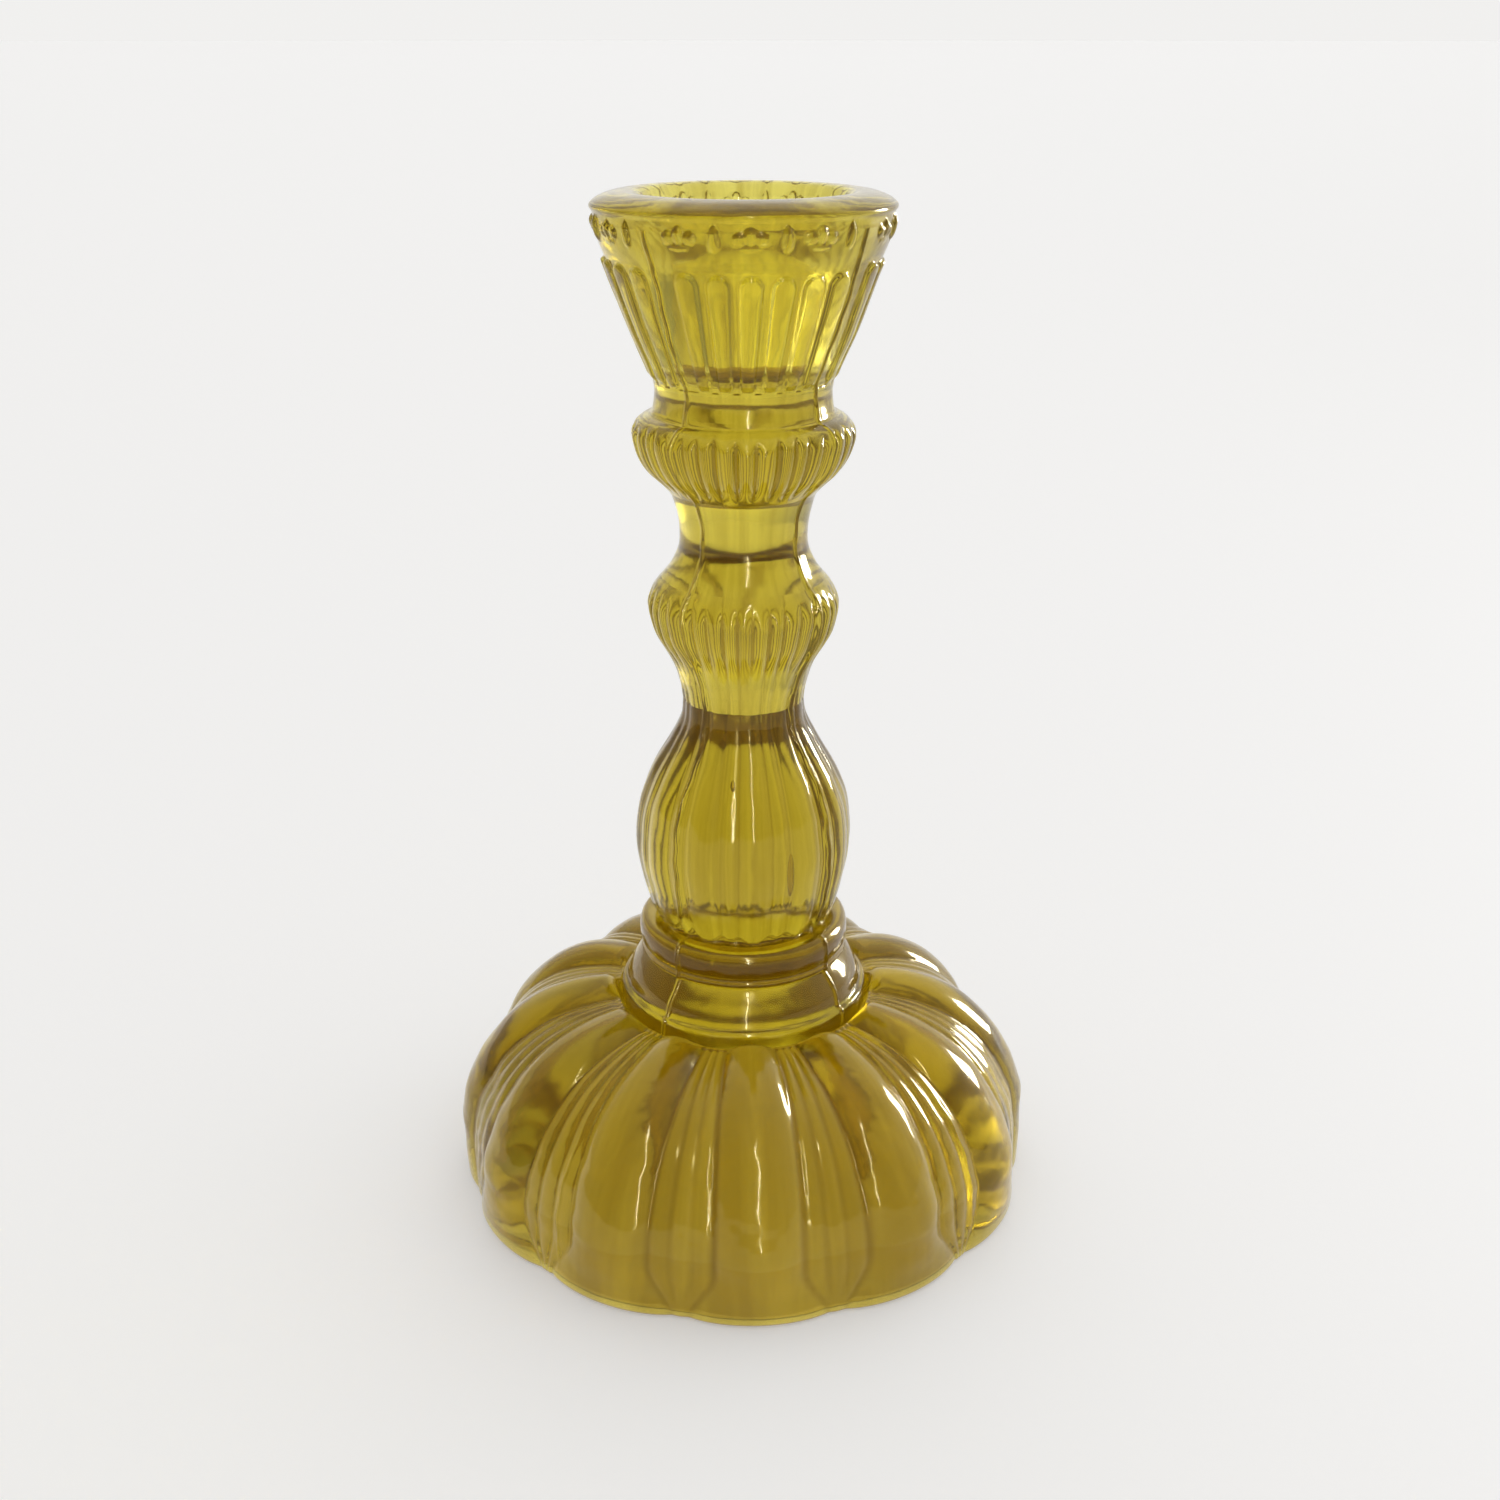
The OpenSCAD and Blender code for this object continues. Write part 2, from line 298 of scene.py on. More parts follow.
def upper_knop_relief(turn, r, z, low, high):
    tops = high - 1.2 * MM - 0.5 * MM * (1 + np.sin(9 * turn + 1))
    full = smoothstep((z - low - 0.3 * MM) / (3.2 * MM)) * smoothstep((tops - z) / (2.4 * MM))
    ribs = soften(fine_ribs(swayed(turn, 3.1, 1.0 * DEG), KNOP_RIBS), 1) - 0.6
    return UPPER_KNOP_DEPTH * full * worn(turn, 4.4, 0.2) * ribs


QUARTER_FIRST = 15 * DEG  # from a mould seam to the first panel of its quarter
PANEL_PITCH = 13.2 * DEG
PANELS_A_QUARTER = 6
PANEL_TOP = 20.3 * MM
DROP_HEIGHT = 25.3 * MM
BAND_R = 24 * MM


def panel_turns():
    """Number, place in its quarter and angle of each arched panel, six to a mould quarter."""
    for quarter, seam in enumerate(SEAM_TURNS):
        for k in range(PANELS_A_QUARTER):
            number = quarter * PANELS_A_QUARTER + k
            yield number, k, seam + QUARTER_FIRST + k * PANEL_PITCH + 0.5 * DEG * varied(number, 1)


def panels(turn, z, r):
    """Raised panels with round tops, no two quite alike."""
    relief = np.zeros_like(turn)
    for number, _, middle in panel_turns():
        lean = 0.35 * MM * varied(number, 2) * (z / PANEL_TOP - 0.5)
        across = wrapped(turn - middle) * r + lean
        half = PANEL_PITCH / 2 * r - (0.3 + 0.12 * varied(number, 3)) * MM
        shoulder = PANEL_TOP - PANEL_PITCH / 2 * 22 * MM + 0.4 * MM * varied(number, 5)
        reach = np.hypot(across, max(0.0, z - shoulder))
        inside = smoothstep((half - reach) / (0.6 * MM))
        bulge = 0.25 * MM * (1 - np.clip(across / half, -1, 1) ** 2)
        relief += inside * ((0.52 + 0.1 * varied(number, 7)) * MM + bulge)
    return relief


def blob(x, z, width, height):
    """Small rounded bump, 1 in the middle."""
    return np.clip(1 - (x / width) ** 2 - (z / height) ** 2, 0, 1) ** 0.6


def drops(turn, z):
    """Relief round the band: narrow drops alternating with wide three-petalled ones."""
    relief = np.zeros_like(turn)
    up = z - DROP_HEIGHT
    for number, k, middle in panel_turns():
        across = wrapped(turn - middle) * BAND_R + 0.15 * MM * varied(number, 6)
        if k % 2:
            taper = 1 - 0.45 * np.clip(up / (2 * MM), -1, 1)
            relief += 0.7 * MM * blob(across / taper, up, 0.85 * MM, 2.1 * MM)
        else:
            relief += 0.65 * MM * blob(across, up - 0.3 * MM, 0.95 * MM, 1.35 * MM)
            for side in (-1, 1):
                petal = across - side * 1.75 * MM
                relief += 0.5 * MM * blob(petal, up + 0.15 * MM, 1.1 * MM, 0.95 * MM)
            relief += 0.3 * MM * blob(across, up + 1.45 * MM, 1.9 * MM, 0.6 * MM)
    return relief


def candle_cup_relief(turn, r, z, low, high):
    up = z - low
    return panels(turn, up, r) * smoothstep((up - 0.4 * MM) / (1.6 * MM)) + drops(turn, up)


def rim_relief(turn, r, z, low, high):
    """Tops of the drops, which run on from the cup over the plain side of the rim."""
    if r < RIM_SIDE_R:
        return np.zeros_like(turn)
    return drops(turn, z - foot_of("candle_cup"))


# Bubbles of a section: (turn, distance from the axis, height, half width, half depth, half height).
BUBBLES = {
    "baluster": [(-7.4 * DEG, 14 * MM, 82.7 * MM, 0.4 * MM, 0.4 * MM, 1.1 * MM),
                 (27.3 * DEG, 17 * MM, 66.7 * MM, 0.8 * MM, 0.3 * MM, 4 * MM),
                 (-31 * DEG, 15.5 * MM, 61 * MM, 0.15 * MM, 0.15 * MM, 0.5 * MM)],
    "merese": [(-20 * DEG, 15 * MM, 49 * MM, 0.3 * MM, 0.2 * MM, 0.2 * MM)],
}

RELIEFS = {
    "baluster": baluster_relief,
    "lower_knop": lower_knop_relief,
    "upper_knop": upper_knop_relief,
    "candle_cup": candle_cup_relief,
    "rim": rim_relief,
}


# ---------------------------------------------------------------- building a closed section


class Shell:
    """A closed skin made of rings, from its underside outwards, up and back in."""

    def __init__(self, node, steps):
        self.name = node + "_glass"
        self.depth = SHADES.get(node, STEM_SHADE)  # painted shade depth of the faces added next
        self.steps = steps
        self.turn = turns(steps)
        self.points = []
        self.faces = []
        self.joints = []
        self.depths = []
        self.marks = []
        self.last = None

    def add_face(self, corners, joint):
        self.faces.append(corners)
        self.joints.append(joint)
        self.depths.append(self.depth)

    def add_ring(self, points, joint=False, marks=None):
        """Adds a ring and the band from the ring before it; marks give the painted shade at its points.
        """
        start = len(self.points)
        self.points.extend(points)
        self.marks.extend(np.zeros(self.steps) if marks is None else marks)
        new = list(range(start, start + self.steps))
        if self.last is not None:
            self.band(self.last, new, joint)
        self.last = new

    def band(self, low, high, joint):
        for i in range(self.steps):
            j = (i + 1) % self.steps
            if len(low) == 1:
                self.add_face((low[0], high[j], high[i]), joint)
            elif len(high) == 1:
                self.add_face((low[i], low[j], high[0]), joint)
            else:
                self.add_face((low[i], low[j], high[j], high[i]), joint)

    def add_pole(self, z, joint=False):
        """Adds a point on the axis, at the start or the end of the skin."""
        self.points.append((0.0, 0.0, z))
        self.marks.append(0.0)
        new = [len(self.points) - 1]
        if self.last is not None:
            self.band(self.last, new, joint)
        self.last = new

    def add_bubble(self, turn, r, z, wide, deep, tall):
        """Adds an elongated bubble inside the glass, its skin facing into it."""
        first = len(self.points)
        rows, sides = 14, 24
        out = np.array([math.sin(turn), -math.cos(turn)])
        along = np.array([math.cos(turn), math.sin(turn)])
        for j in range(1, rows):
            a = math.pi * j / rows
            for i in range(sides):
                b = 2 * math.pi * i / sides
                reach = math.sin(a)
                flat = out * (r + deep * reach * math.cos(b)) + along * wide * reach * math.sin(b)
                self.points.append((flat[0], flat[1], z - tall * math.cos(a)))
        ends = [len(self.points), len(self.points) + 1]
        self.points += [(out[0] * r, out[1] * r, z - tall), (out[0] * r, out[1] * r, z + tall)]
        self.marks.extend([0.0] * (len(self.points) - first))
        for j in range(rows):
            for i in range(sides):
                low = [first + (j - 1) * sides + (i + k) % sides for k in (0, 1)]
                high = [first + j * sides + (i + k) % sides for k in (0, 1)]
                if j == 0:
                    self.add_face((ends[0], high[0], high[1]), False)
                elif j == rows - 1:
                    self.add_face((low[1], low[0], ends[1]), False)
                else:
                    self.add_face((low[1], low[0], high[0], high[1]), False)

    def make(self):
        mesh = bpy.data.meshes.new(self.name)
        mesh.from_pydata([tuple(map(float, p)) for p in self.points], [], self.faces)
        mesh.shade_smooth()
        mark = mesh.attributes.new("joint", "FLOAT", "FACE")
        mark.data.foreach_set("value", [float(joint) for joint in self.joints])
        # how deep the painted shade in the tint is, face by face
        shade = mesh.attributes.new("depth", "FLOAT", "FACE")
        shade.data.foreach_set("value", self.depths)
        # painted shade in creases, along seams, in the groove at the bulb's foot and on the bore's floor
        crease = mesh.attributes.new("crease", "FLOAT", "POINT")
        crease.data.foreach_set("value", [float(mark) for mark in self.marks])
        crease_joints(mesh, np.array(self.joints))
        piece = bpy.data.objects.new(self.name, mesh)
        bpy.context.scene.collection.objects.link(piece)
        return piece


def crease_joints(mesh, joints):
    """Marks the edges between joint faces and the outside as sharp."""
    edges = np.empty(len(mesh.loops), dtype=int)
    mesh.loops.foreach_get("edge_index", edges)
    sizes = np.empty(len(mesh.polygons), dtype=int)
    mesh.polygons.foreach_get("loop_total", sizes)
    on_joint = np.repeat(joints, sizes)
    count = len(mesh.edges)
    inside = np.bincount(edges[on_joint], minlength=count) > 0
    outside = np.bincount(edges[~on_joint], minlength=count) > 0
    mesh.edges.foreach_set("use_edge_sharp", inside & outside)
    mesh.update()


def outer_rows(node, shell, step=ROW_STEP):
    """Outer rings of a section with its relief, seams and ripples, and the painted shade on them: in
    creases, along seams, in the bulb's groove.
    """
    low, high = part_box(node)
    top = high.z - JOINT_GAP
    shape = RELIEFS.get(node, no_relief)
    seamed = float(node not in UNSEAMED)
    rows = []
    for z, r in smooth_line(outline_points(node), step):
        relief = shape(shell.turn, r, z, low.z, high.z)
        full = r + relief + seamed * seams(shell.turn, r, z) + ripple(shell.turn, z)
        folds = CREASE_SHARE.get(node, 1) * creases(relief, r)
        marks = np.maximum(seamed * seam_marks(shell.turn, r, z), folds)
        # painted shade in the groove at the bulb's foot
        if node == "baluster":
            marks = np.maximum(marks, SCALLOP_SHADE * foot_cut(shell.turn, z, low.z))
        rows.append((ring(shell.turn, full, min(z, top)), marks))
    return rows


def solid_section(node):
    """A solid section of the stem, closed by a joint face at each end."""
    shell = Shell(node, STEM_STEPS)
    rows = outer_rows(node, shell)
    shell.add_pole(rows[0][0][0][2], True)
    for points, marks in rows:
        shell.add_ring(points, points is rows[0][0], marks)
    shell.add_pole(rows[-1][0][0][2], True)
    for bubble in BUBBLES.get(node, ()):
        shell.add_bubble(*bubble)
    return shell.make()


def candle_cup():
    """The cup: panels and drops outside, the socket inside."""
    node = "candle_cup"
    shell = Shell(node, STEM_STEPS)
    rows = outer_rows(node, shell, 0.3 * MM)
    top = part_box(node)[1].z - JOINT_GAP
    floor = top - FLARE_H - BORE_FLOOR
    corner = 3 * MM
    shell.add_pole(rows[0][0][0][2], True)
    for points, marks in rows:
        shell.add_ring(points, points is rows[0][0], marks)
    shell.add_ring(ring(shell.turn, FLARE_R, top), True)
    flare = [(0, FLARE_R), (1.5 * MM, 14 * MM), (3.5 * MM, 12.4 * MM), (FLARE_H, BORE_R)]
    inside = np.array([(top - down, r) for down, r in flare])
    for z, r in smooth_line(inside, 0.5 * MM)[1:]:
        shell.add_ring(ring(shell.turn, r + ripple(shell.turn, z), z))
    for z in np.linspace(top - FLARE_H, floor + corner, 26)[1:]:
        shell.add_ring(ring(shell.turn, BORE_R + ripple(shell.turn, z), z))
    # painted shade: the bore's floor and its corner take the deepest tint and are darkened further,
    # where little light reaches
    shell.depth = FLOOR_SHADE
    for a in np.linspace(0, 90, 7)[1:] * DEG:
        r = BORE_R - corner * (1 - math.cos(a))
        marks = np.full(shell.steps, FLOOR_PAINTED_SHADE * math.sin(a))
        shell.add_ring(ring(shell.turn, r, floor + corner * (1 - math.sin(a))), marks=marks)
    for share in np.linspace(0.7, 0.05, 10):
        uneven_floor_shade = FLOOR_PAINTED_SHADE * (1 + 0.3 * np.sin(7 * shell.turn + 9 * share))
        swell = 0.1 * MM * np.sin(5 * shell.turn + 8 * share) * share
        dip = FLOOR_DIP * (1 - (share / 0.75) ** 2) + swell
        shell.add_ring(ring(shell.turn, BORE_R * share, floor - dip), marks=uneven_floor_shade)
    shell.add_pole(floor - FLOOR_DIP)
    return shell.make()


def rim():
    """Rolled lip round the mouth."""
    node = "rim"
    shell = Shell(node, STEM_STEPS)
    rows = outer_rows(node, shell, 0.25 * MM)
    shell.add_ring(ring(shell.turn, FLARE_R, foot_of(node)))
    for points, marks in rows[:-1]:
        # painted shade: the rim's side takes a deeper tint than its top
        outside = np.hypot(*points[0][:2]) > RIM_SIDE_R
        shell.depth = RIM_SIDE_SHADE if outside else SHADES[node]
        shell.add_ring(points, points is rows[0][0], marks)
    shell.band(shell.last, list(range(shell.steps)), False)
    return shell.make()


# ---------------------------------------------------------------- foot

SKIRT_H = 12 * MM
DOME_PEAK = 4 * MM
DOME_FULLNESS = 2.3
DOME_ROUNDNESS = 0.65
LOBE_DEPTH = 3.6 * MM
BASE_LOBE_DEPTH = 1.6 * MM
STANDING_RING = 4.4 * MM
FOOT_WALL = 6.5 * MM
TUCK_IN = 0.6 * MM
COLLAR_JOINT_R = 22.3 * MM
LOBE_START = 23 * MM  # radius where the lobes' tips rise beside the collar
LOBE_TIP = 3.4 * MM
FOOT_TURN = 3 * DEG
GROUP_TOP = 4.2 * DEG  # half the width of a group of narrow ribs at the collar
GROUP_WIDEST = 6.3 * DEG  # the same at the top of the skirt
GROUP_RIBS = 3
FOOT_RIPPLES = ((7, 120, 0.9, 0.06 * MM), (11, -150, 3.3, 0.05 * MM), (17, 190, 1.2, 0.035 * MM),
                (29, -110, 5.5, 0.02 * MM), (43, 310, 2.2, 0.016 * MM), (67, -420, 0.4, 0.009 * MM))


def foot_valley(turn, half):
    """Share of the lobe depth cut away: 0 on a lobe's crest, about 1 in a group of narrow ribs."""
    off = np.abs((turn - FOOT_TURN + PAIR_PITCH / 2) % PAIR_PITCH - PAIR_PITCH / 2)
    edge = PAIR_PITCH / 2 - half
    lobe = 1 - arch(off / edge, 0.88)
    across = (PAIR_PITCH / 2 - off) / half * GROUP_RIBS / 2 + (GROUP_RIBS % 2) / 2
    ribs = 0.93 - 0.14 * arch((across % 1 - 0.5) * 2, 0.9)
    return soften(np.where(off < edge, lobe, ribs), 2)


def foot_crest(share, radius, top):
    """Radius and height of a lobe's crest at a share of the way out from the collar."""
    out = LOBE_START + (radius - LOBE_START) * share
    rise = max(0.0, 1 - share**DOME_FULLNESS) ** DOME_ROUNDNESS
    return out, SKIRT_H + (top + DOME_PEAK - SKIRT_H) * rise


def round_tip(z, out, top):
    """Heights of a row, brought down to the joint over the length of the lobes' tips."""
    t = min(1.0, (out - LOBE_START) / LOBE_TIP)
    return np.where(z > top, top + (z - top) * math.sqrt(1 - (1 - t) ** 2), z)


def lobe_depth(share):
    """Depth between the lobes at a share of the way out from the collar."""
    return LOBE_DEPTH * math.sin((38 + 90 * share) * DEG)


def foot_ripple(turn, at):
    return sum(h * np.sin(n * turn + 2 * math.pi * k * at + start) for n, k, start, h in FOOT_RIPPLES)


def foot():
    """Hollow domed foot of twelve lobes with narrow ribs between them."""
    low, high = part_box("foot")
    radius = (high.x - low.x) / 2 + 0.2 * MM
    top = foot_of("foot_collar")
    shell = Shell("foot", FOOT_STEPS)
    turn = shell.turn
    hollow_r = radius - TUCK_IN - BASE_LOBE_DEPTH - STANDING_RING
    hollow_h = top - FOOT_WALL
    # painted shade: the hollow and the dome take a deep tint
    shell.depth = FOOT_SHADE
    shell.add_pole(hollow_h)
    for a in np.linspace(88, 0, 50) * DEG:
        r = hollow_r * max(0.0, math.cos(a)) ** 0.8
        z = hollow_h * math.sin(a) ** 0.9 if a > 0 else 0.0
        wave = 0.6 * foot_ripple(turn, z) * smoothstep(z / (3 * MM)) * smoothstep(r / (20 * MM))
        shell.add_ring(ring(turn, r + wave, z))
    # painted shade: the skirt, low on the foot, takes the deepest tint
    shell.depth = SHADES["foot"]
    skirt_rows = 26
    for k in range(skirt_rows + 1):
        t = 1 - k / skirt_rows
        half = 1.2 * DEG + (GROUP_WIDEST - 1.2 * DEG) * smoothstep((1 - t) * 1.25)
        depth = lobe_depth(1) * (1 - t) + BASE_LOBE_DEPTH * t
        rounding = 0.9 * MM * max(0.0, 1 - (SKIRT_H * (1 - t)) / (0.9 * MM)) ** 2
        valley = depth * foot_valley(turn, half)
        z = SKIRT_H * (1 - t)
        unevenness = (0.4 * seams(turn, radius, z) + foot_ripple(turn, z + 0.4 * radius)) * (1 - t)
        r = radius - TUCK_IN * t * t - valley - rounding + unevenness
        shell.add_ring(ring(turn, r, z), marks=creases(-valley, radius))
    shell.depth = FOOT_SHADE
    dome_rows = 120
    for k in range(1, dome_rows):
        left = 1 - k / dome_rows
        share = math.sin(90 * DEG * left)
        out, z = foot_crest(share, radius, top)
        inward = share**1.5
        depth = lobe_depth(share) * smoothstep(left * 30)
        cut = depth * foot_valley(turn, GROUP_TOP + (GROUP_WIDEST - GROUP_TOP) * share)
        marks = creases(-cut, out)
        cut -= (0.4 * seams(turn, out, z) + foot_ripple(turn, z + 0.4 * out)) * smoothstep(left * 20)
        height = round_tip(z - cut * (1 - inward), out, top)
        shell.add_ring(ring(turn, out - cut * inward, height), marks=marks)
    shell.add_ring(ring(turn, COLLAR_JOINT_R, top - JOINT_GAP))
    shell.add_pole(top - JOINT_GAP, True)
    return shell.make()


# ---------------------------------------------------------------- materials


GLASS_INDEX = 1.5
HAZE_LOW = 0.08
HAZE_HIGH = 0.18
FIRE_POLISH = 0.24  # weight of the glossy skin over the slightly hazy body
SKIN_PALE = (1.0, 0.94, 0.29, 1)  # the glass's own tint, where no shade is painted
SKIN_PAINTED_SHADE = (0.63, 0.47, 0.03, 1)  # the tint with the deepest painted shade, on the foot's skirt and the bore's floor
# painted shade in the streaks
STREAK_PAINTED_SHADE = (0.77, 0.73, 0.62, 1)
# painted shade in creases, along seams, in the bulb's groove and on the bore's floor
CREASE_PAINTED_SHADE = (0.47, 0.38, 0.25, 1)
STREAKS_ROUND = 6.5
GLASS_BODY = (0.82, 0.755, 0.0625, 1)  # 1 minus the share of the density at which each colour fades
GLASS_DENSITY = 70  # per metre


def node_tree(material):
    material.use_nodes = True
    material.node_tree.nodes.clear()
    return material.node_tree.nodes, material.node_tree.links


def noise(nodes, links, scale, detail, stretch=(1, 1, 1)):
    """Noise over the object's own coordinates; returns its value socket."""
    place = nodes.new("ShaderNodeTexCoord")
    size = nodes.new("ShaderNodeMapping")
    size.inputs["Scale"].default_value = stretch
    texture = nodes.new("ShaderNodeTexNoise")
    texture.inputs["Scale"].default_value = scale
    texture.inputs["Detail"].default_value = detail
    links.new(place.outputs["Object"], size.inputs["Vector"])
    links.new(size.outputs["Vector"], texture.inputs["Vector"])
    return texture.outputs["Fac"]


def remap(nodes, links, value, low, high, start=0, end=1):
    """Value socket spread from between start and end to between low and high."""
    spread = nodes.new("ShaderNodeMapRange")
    for name, number in (("From Min", start), ("From Max", end), ("To Min", low), ("To Max", high)):
        spread.inputs[name].default_value = number
    links.new(value, spread.inputs["Value"])
    return spread.outputs["Result"]


def mixed(nodes, links, factor, first, second, blend="MIX"):
    """Colour between two colours or colour sockets."""
    mix = nodes.new("ShaderNodeMix")
    mix.data_type = "RGBA"
    mix.blend_type = blend
    links.new(factor, mix.inputs["Factor"])
    for name, colour in (("A", first), ("B", second)):
        if isinstance(colour, tuple):
            mix.inputs[name].default_value = colour
        else:
            links.new(colour, mix.inputs[name])
    return mix.outputs["Result"]


def painted_streaks(nodes, links):
    """Streaks of painted shade that run up the stem and out over the foot, from 0 to 1, in place of the
    uneven light that the ribbed glass shows from the floor beneath.
    """
    place = nodes.new("ShaderNodeTexCoord")
    flat = nodes.new("ShaderNodeVectorMath")
    flat.operation = "MULTIPLY"
    flat.inputs[1].default_value = (1, 1, 0)
    links.new(place.outputs["Object"], flat.inputs[0])
    around = nodes.new("ShaderNodeVectorMath")
    around.operation = "NORMALIZE"
    links.new(flat.outputs["Vector"], around.inputs[0])
    drift = nodes.new("ShaderNodeVectorMath")
    drift.operation = "MULTIPLY_ADD"
    drift.inputs[1].default_value = (6, 6, 14)
    links.new(place.outputs["Object"], drift.inputs[0])
    spread = nodes.new("ShaderNodeVectorMath")
    spread.operation = "SCALE"
    spread.inputs["Scale"].default_value = STREAKS_ROUND
    links.new(around.outputs["Vector"], spread.inputs[0])
    links.new(spread.outputs["Vector"], drift.inputs[2])
    texture = nodes.new("ShaderNodeTexNoise")
    texture.inputs["Scale"].default_value = 1
    texture.inputs["Detail"].default_value = 3
    texture.inputs["Roughness"].default_value = 0.6
    links.new(drift.outputs["Vector"], texture.inputs["Vector"])
    contrast = nodes.new("ShaderNodeMapRange")
    contrast.interpolation_type = "SMOOTHSTEP"
    contrast.inputs["From Min"].default_value = 0.38
    contrast.inputs["From Max"].default_value = 0.62
    links.new(texture.outputs["Fac"], contrast.inputs["Value"])
    return contrast.outputs["Result"]


def olive_glass():
    """Clear olive-yellow glass, index-matched on joint faces so that light crosses them."""
    material = bpy.data.materials.new("olive_glass")
    nodes, links = node_tree(material)
    out = nodes.new("ShaderNodeOutputMaterial")
    glass = nodes.new("ShaderNodeBsdfPrincipled")
    glass.inputs["Transmission Weight"].default_value = 1.0
    joint = nodes.new("ShaderNodeAttribute")
    joint.attribute_name = "joint"
    links.new(remap(nodes, links, joint.outputs["Fac"], GLASS_INDEX, 1.0), glass.inputs["IOR"])
    # painted shade: the tint deepens with the faces' depth
    depth = nodes.new("ShaderNodeAttribute")
    depth.attribute_name = "depth"
    skin = mixed(nodes, links, depth.outputs["Fac"], SKIN_PALE, SKIN_PAINTED_SHADE)
    # painted shade in streaks
    streaked = mixed(nodes, links, painted_streaks(nodes, links), skin, STREAK_PAINTED_SHADE, "MULTIPLY")
    # painted shade in creases, along seams, in the bulb's groove and on the bore's floor
    crease = nodes.new("ShaderNodeAttribute")
    crease.attribute_name = "crease"
    creased = mixed(nodes, links, crease.outputs["Fac"], streaked, CREASE_PAINTED_SHADE, "MULTIPLY")
    colour = mixed(nodes, links, joint.outputs["Fac"], creased, (1, 1, 1, 1))
    links.new(colour, glass.inputs["Base Color"])
    skin_bumps = noise(nodes, links, 160, 2.5, (1, 1, 0.6))
    bump = nodes.new("ShaderNodeBump")
    bump.inputs["Strength"].default_value = 1.0
    bump.inputs["Distance"].default_value = 0.00016
    links.new(skin_bumps, bump.inputs["Height"])
    links.new(bump.outputs["Normal"], glass.inputs["Normal"])
    haze = noise(nodes, links, 90, 3, (1, 1, 0.4))
    links.new(remap(nodes, links, haze, HAZE_LOW, HAZE_HIGH), glass.inputs["Roughness"])
    glass.inputs["Specular Tint"].default_value = (1, 0.84, 0.32, 1)
    facing = nodes.new("ShaderNodeNewGeometry")
    hidden = nodes.new("ShaderNodeMath")
    hidden.operation = "MAXIMUM"
    links.new(facing.outputs["Backfacing"], hidden.inputs[0])
    links.new(joint.outputs["Fac"], hidden.inputs[1])
    links.new(remap(nodes, links, hidden.outputs["Value"], FIRE_POLISH, 0), glass.inputs["Coat Weight"])
    glass.inputs["Coat Roughness"].default_value = 0.015
    links.new(bump.outputs["Normal"], glass.inputs["Coat Normal"])
    tint = nodes.new("ShaderNodeVolumeAbsorption")
    tint.inputs["Color"].default_value = GLASS_BODY
    tint.inputs["Density"].default_value = GLASS_DENSITY
    links.new(glass.outputs["BSDF"], out.inputs["Surface"])
    links.new(tint.outputs["Volume"], out.inputs["Volume"])
    return material


def floor_material():
    """Pale, softly lit table."""
    material = bpy.data.materials.new("pale_floor")
    nodes, links = node_tree(material)
    out = nodes.new("ShaderNodeOutputMaterial")
    paint = nodes.new("ShaderNodeBsdfPrincipled")
    paint.inputs["Roughness"].default_value = 0.7
    paint.inputs["Specular IOR Level"].default_value = 0.2
    grain = noise(nodes, links, 900, 2)
    links.new(remap(nodes, links, grain, 0.72, 0.76), paint.inputs["Base Color"])
    paint.inputs["Emission Color"].default_value = (1, 0.98, 0.95, 1)
    paint.inputs["Emission Strength"].default_value = 0.34
    links.new(paint.outputs["BSDF"], out.inputs["Surface"])
    return material


# ---------------------------------------------------------------- the scene

pieces = {
    "foot": foot(),
    "candle_cup": candle_cup(),
    "rim": rim(),
}
for node in ("foot_collar", "merese", "baluster", "lower_knop", "neck", "upper_knop", "cup_collar"):
    pieces[node] = solid_section(node)

glass_material = olive_glass()
for node, piece in pieces.items():
    piece.data.materials.append(glass_material)
    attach(piece, "root")
    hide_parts(node)


def studio():
    bpy.ops.mesh.primitive_circle_add(vertices=128, radius=40, fill_type="NGON")
    floor = bpy.context.object
    floor.name = "studio_floor"
    floor.data.materials.append(floor_material())


def area_light(name, place, target, width, height, power):
    """Soft lamp that shows in the gloss of the glass, and not through it or on the floor."""
    data = bpy.data.lights.new(name, "AREA")
    data.shape = "RECTANGLE"
    data.size = width
    data.size_y = height
    data.energy = power
    lamp = bpy.data.objects.new(name, data)
    bpy.context.scene.collection.objects.link(lamp)
    lamp.location = place
    lamp.visible_transmission = False
    lamp.visible_diffuse = False
    aim(lamp, target)


def aim(thing, target):
    """Turns a lamp to face a point."""
    direction = Vector(target) - Vector(thing.location)
    thing.rotation_euler = direction.to_track_quat("-Z", "Y").to_euler()


BACKDROP = (0.88, 0.873, 0.86, 1)  # the pale wall seen behind the floor


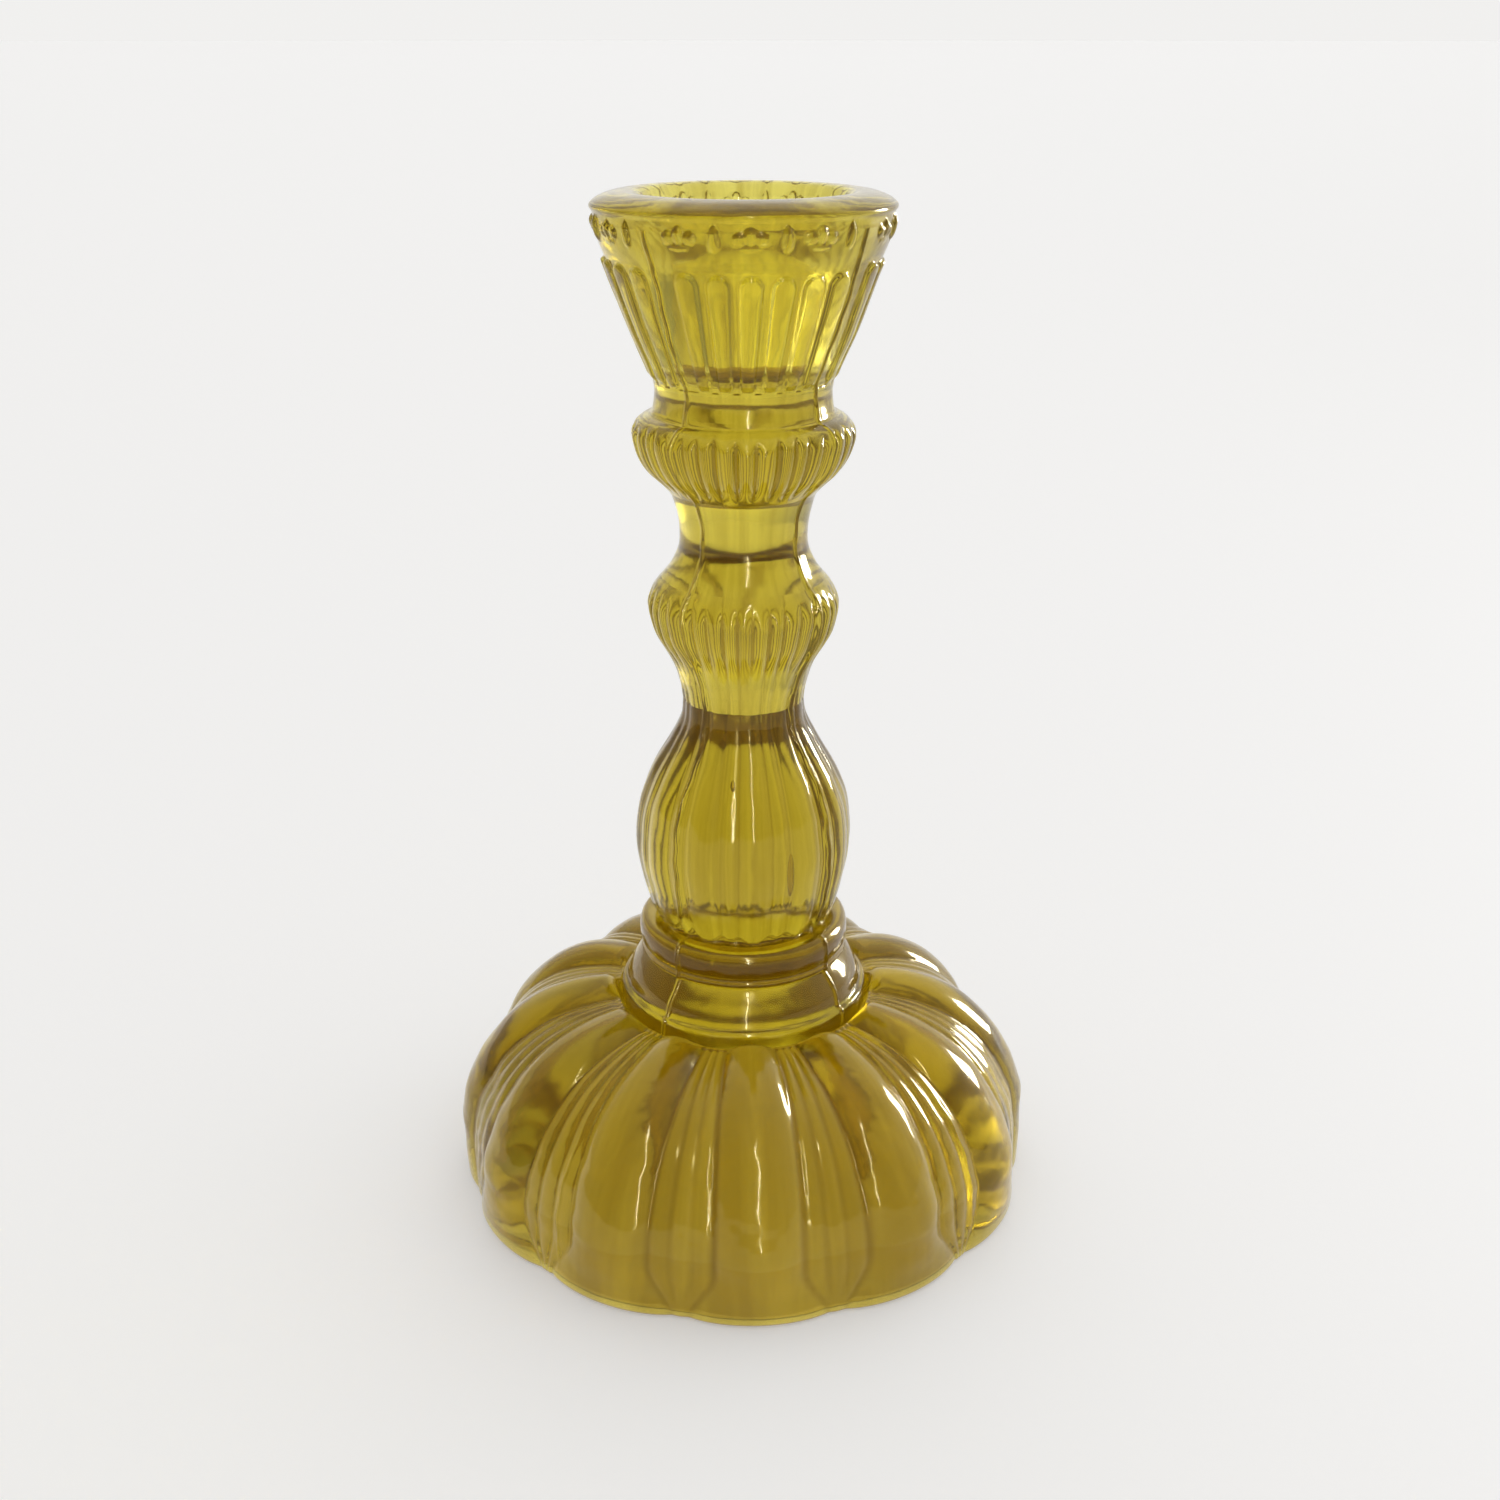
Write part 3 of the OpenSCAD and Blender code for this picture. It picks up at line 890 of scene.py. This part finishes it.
def world_light():
    """Bright surroundings behind and above, darker in front and on the left; the wall looks pale."""
    world = bpy.data.worlds.new("studio")
    bpy.context.scene.world = world
    world.use_nodes = True
    nodes, links = world.node_tree.nodes, world.node_tree.links
    nodes.clear()
    out = nodes.new("ShaderNodeOutputWorld")
    sky = nodes.new("ShaderNodeBackground")
    place = nodes.new("ShaderNodeTexCoord")
    split = nodes.new("ShaderNodeSeparateXYZ")
    links.new(place.outputs["Generated"], split.inputs["Vector"])
    depth = remap(nodes, links, split.outputs["Y"], 0.36, 1.05, -0.8, 0.3)
    side = remap(nodes, links, split.outputs["X"], 0.4, 1, -0.85, -0.1)
    height = remap(nodes, links, split.outputs["Z"], 0.83, 1, 0.02, 0.2)
    level = nodes.new("ShaderNodeMath")
    level.operation = "MULTIPLY"
    links.new(depth, level.inputs[0])
    links.new(side, level.inputs[1])
    links.new(level.outputs["Value"], sky.inputs["Color"])
    links.new(height, sky.inputs["Strength"])
    seen = nodes.new("ShaderNodeLightPath")
    backdrop = nodes.new("ShaderNodeBackground")
    backdrop.inputs["Color"].default_value = BACKDROP
    shown = nodes.new("ShaderNodeMixShader")
    links.new(seen.outputs["Is Camera Ray"], shown.inputs["Fac"])
    links.new(sky.outputs["Background"], shown.inputs[1])
    links.new(backdrop.outputs["Background"], shown.inputs[2])
    links.new(shown.outputs["Shader"], out.inputs["Surface"])


CAMERA_PLACE = (0, -0.299, 0.2035)
CAMERA_TILT = 21.8 * DEG  # how far it looks down
CAMERA_LENS = 43.2  # millimetres
CAMERA_SHIFT = 0.0043  # the photo isn't quite centred on the axis


def camera():
    data = bpy.data.cameras.new("camera")
    data.lens = CAMERA_LENS
    data.shift_x = CAMERA_SHIFT
    data.clip_start = 0.01
    view = bpy.data.objects.new("camera", data)
    bpy.context.scene.collection.objects.link(view)
    view.location = CAMERA_PLACE
    view.rotation_euler = (90 * DEG - CAMERA_TILT, 0, 0)
    bpy.context.scene.camera = view


studio()
world_light()
top_z = CAD_BOUNDS[1][2]
middle = (0, 0, 0.4 * top_z)
area_light("window", (1.0, 0.62, 0.34), middle, width=0.27, height=0.45, power=17)
area_light("door_gap", (0.13, -1.3, 0.75), middle, width=0.035, height=1.6, power=6)
camera()
bpy.context.scene.cycles.max_bounces = 48
bpy.context.scene.cycles.transmission_bounces = 48
bpy.context.scene.cycles.glossy_bounces = 16
bpy.context.scene.cycles.transparent_max_bounces = 64
bpy.context.scene.view_settings.view_transform = "Standard"
